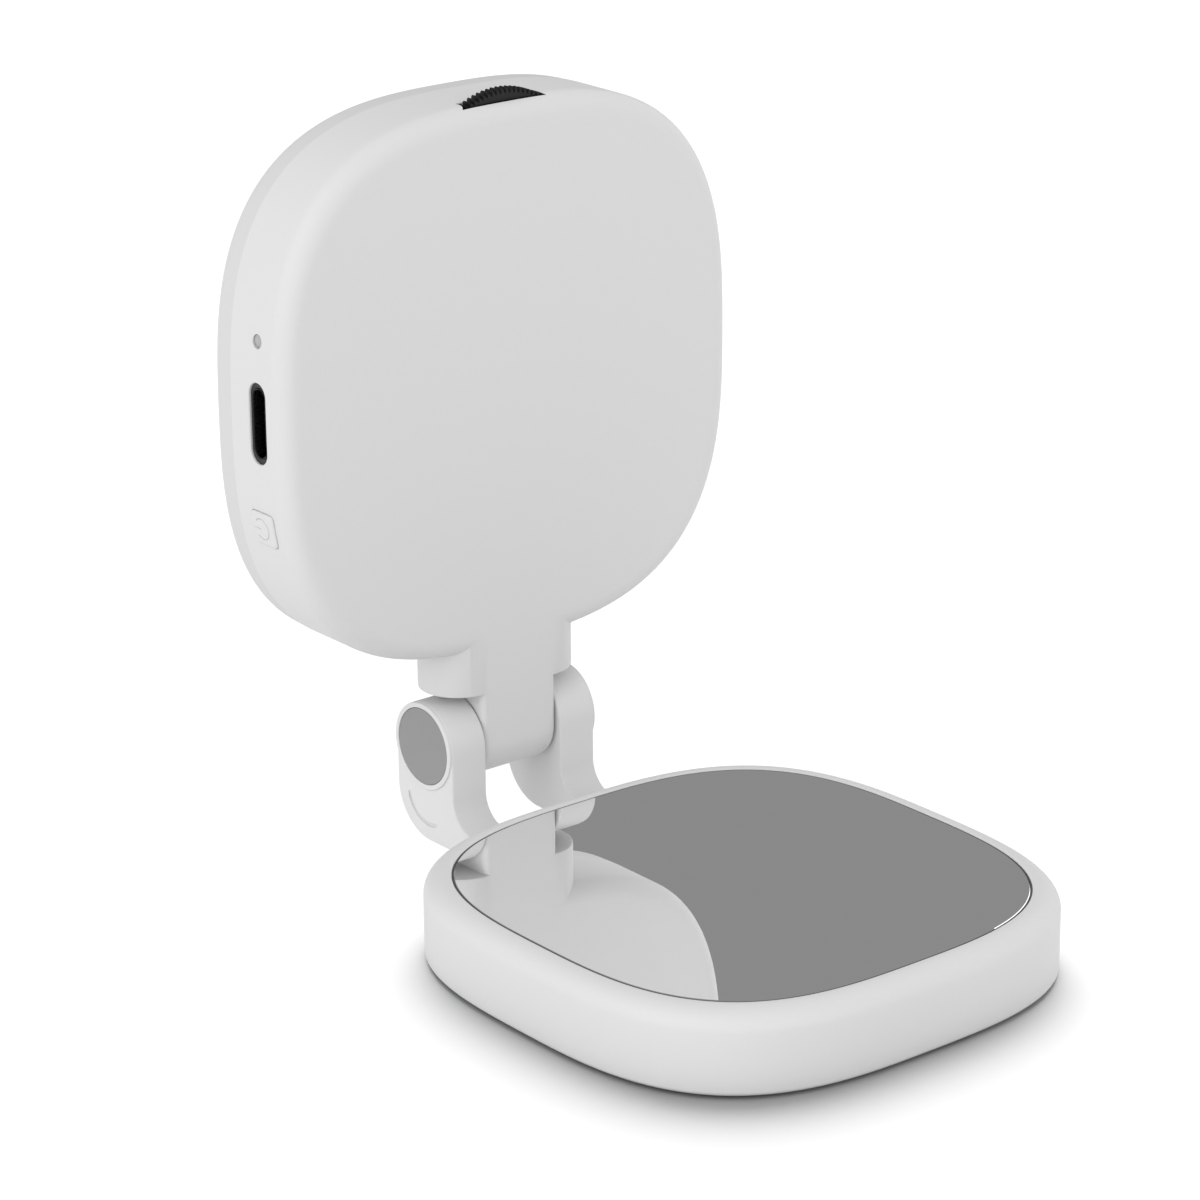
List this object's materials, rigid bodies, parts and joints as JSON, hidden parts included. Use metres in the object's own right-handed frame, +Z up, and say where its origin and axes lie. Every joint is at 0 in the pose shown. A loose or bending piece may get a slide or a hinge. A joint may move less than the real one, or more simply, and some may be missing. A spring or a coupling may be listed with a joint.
{
  "type": "document camera",
  "caption": "Folding document camera: a rounded-square head with a lens and ring light tilts on two hinge arms behind a weighted base with a mirror top.",
  "frame": {"origin": "centre of the grip pad's flat face under the base, on the table", "axes": "+X along the hinge axis, with the controls on the -X side of the head; -Y from the hinge towards the front of the base; +Z up from the table"},
  "size_m": [0.07, 0.0914, 0.0998],
  "materials": {
    "white_plastic": "fine satin moulded",
    "frosted_plastic": "frosted, lets light through",
    "black_plastic": "satin",
    "lens_glass": "polished and coated",
    "black_metal": "black anodised",
    "sensor_chip": "glossy cover",
    "white_board": "white solder mask",
    "green_board": "green solder mask",
    "led_lamps": "yellow phosphor in a white body",
    "steel": "zinc plated",
    "foil": "laminated foil pouch",
    "red_wire": "wire sleeve",
    "clear_plastic": "clear moulded",
    "grey_plastic": "moulded",
    "cap_metal": "satin anodised grey",
    "brass": "turned",
    "washer_plastic": "self-lubricating",
    "mirror_glass": "polished, silvered behind",
    "trim_metal": "thin dark edge",
    "foam_tape": "double-sided foam tape",
    "ballast_steel": "cut plate, oiled",
    "grip_rubber": "matt silicone"
  },
  "bodies": {
    "base": {"hinge_yoke": "white_plastic", "hinge_bolt": "steel", "hinge_nut": "steel", "spring_washer": "steel", "hinge_caps": "cap_metal", "yoke_screws": "steel", "base_shell": "white_plastic", "base_plate": "white_plastic", "base_screws": "steel", "ballast_plate": "ballast_steel", "mirror_glass": "mirror_glass", "mirror_trim": "trim_metal", "mirror_pad": "foam_tape", "grip_pad": "grip_rubber"},
    "head": {"head_shell": "white_plastic", "head_cover": "white_plastic", "light_diffuser": "frosted_plastic", "lens_bezel": "black_plastic", "lens_window": "lens_glass", "lens_barrel": "black_metal", "lens_elements": "lens_glass", "camera_holder": "black_plastic", "image_sensor": "sensor_chip", "led_board": "white_board", "ring_leds": "led_lamps", "main_board": "green_board", "board_link": "black_plastic", "board_screws": "steel", "battery": "foil", "battery_leads": "red_wire", "usb_shell": "steel", "usb_tongue": "black_plastic", "status_light": "clear_plastic", "status_led": "led_lamps", "tact_switch": "black_plastic", "dimmer_pot": "black_plastic", "hinge_bush": "brass", "friction_washers": "washer_plastic"},
    "dimmer": {"dimmer_wheel": "black_plastic"},
    "power_key": {"power_button": "white_plastic", "switch_stem": "grey_plastic"}
  },
  "joints": [
    {"name": "head_tilt", "type": "hinge", "parent": "base", "child": "head", "pos_m": [0, 0.0482, 0.0161], "axis": [1, 0, 0], "range_deg": [-90, 90]},
    {"name": "dimmer_spin", "type": "hinge", "parent": "head", "child": "dimmer", "pos_m": [0, 0.0454, 0.0879], "axis": [0, 1, 0], "range_deg": [-135, 135]},
    {"name": "power_press", "type": "slide", "parent": "head", "child": "power_key", "axis": [1, 0, 0], "range_m": [0, 0.0003], "stiffness_N_per_m": 1500}
  ]
}
